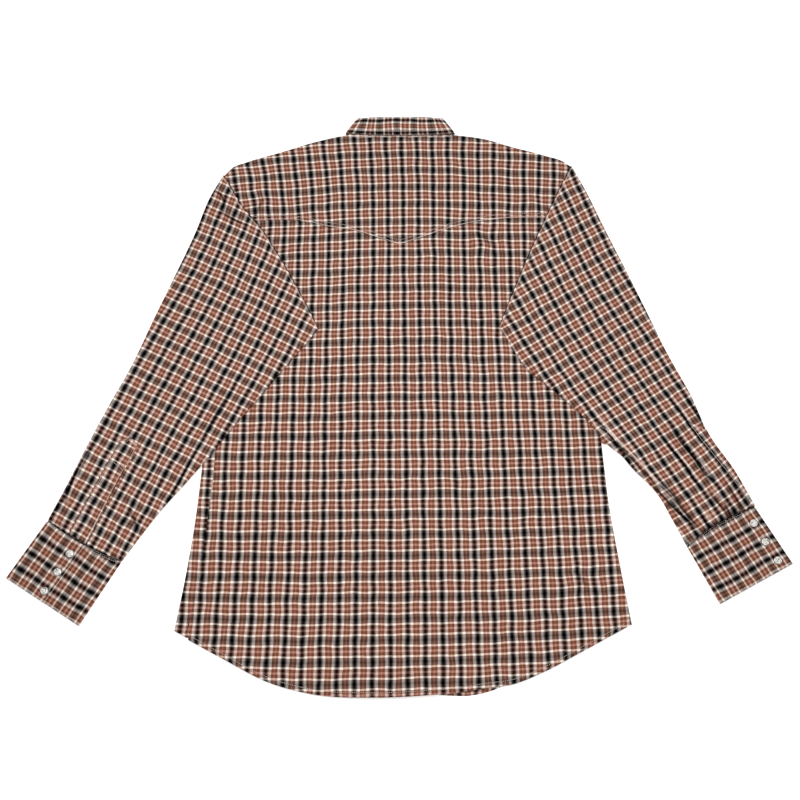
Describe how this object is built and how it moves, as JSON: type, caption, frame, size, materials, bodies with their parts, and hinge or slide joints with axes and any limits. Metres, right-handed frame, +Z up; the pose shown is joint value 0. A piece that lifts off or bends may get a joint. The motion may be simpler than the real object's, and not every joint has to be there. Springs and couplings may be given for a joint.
{
  "type": "western snap shirt",
  "caption": "Long-sleeved checked western shirt with a pointed back yoke, pearl snaps and a fold-over collar, lying flat with its back up.",
  "frame": {"origin": "middle of the footprint, on the surface that the shirt lies on", "axes": "+X towards the wearer's right sleeve, +Y from the hem to the collar, +Z up, out of the back"},
  "size_m": [1.0084, 0.8258, 0.0095],
  "materials": {
    "plaid_cotton": "matte woven cotton check in black, rust, brown and cream",
    "pearl_snap": "glossy pearl cap in a thin metal rim"
  },
  "bodies": {
    "root": {"back_panel": "plaid_cotton", "back_yoke": "plaid_cotton", "front_left": "plaid_cotton", "front_right": "plaid_cotton", "front_placket": "plaid_cotton", "sleeve_left": "plaid_cotton", "sleeve_right": "plaid_cotton", "sleeve_placket_left": "plaid_cotton", "sleeve_placket_right": "plaid_cotton", "cuff_left": "plaid_cotton", "cuff_right": "plaid_cotton", "collar_leaf": "plaid_cotton", "collar_stand": "plaid_cotton", "snap_collar": "pearl_snap", "snap_front_1": "pearl_snap", "snap_front_2": "pearl_snap", "snap_front_3": "pearl_snap", "snap_front_4": "pearl_snap", "snap_front_5": "pearl_snap", "snap_front_6": "pearl_snap", "snap_front_7": "pearl_snap", "snap_cuff_left_1": "pearl_snap", "snap_cuff_left_2": "pearl_snap", "snap_cuff_left_3": "pearl_snap", "snap_cuff_right_1": "pearl_snap", "snap_cuff_right_2": "pearl_snap", "snap_cuff_right_3": "pearl_snap"}
  },
  "joints": []
}
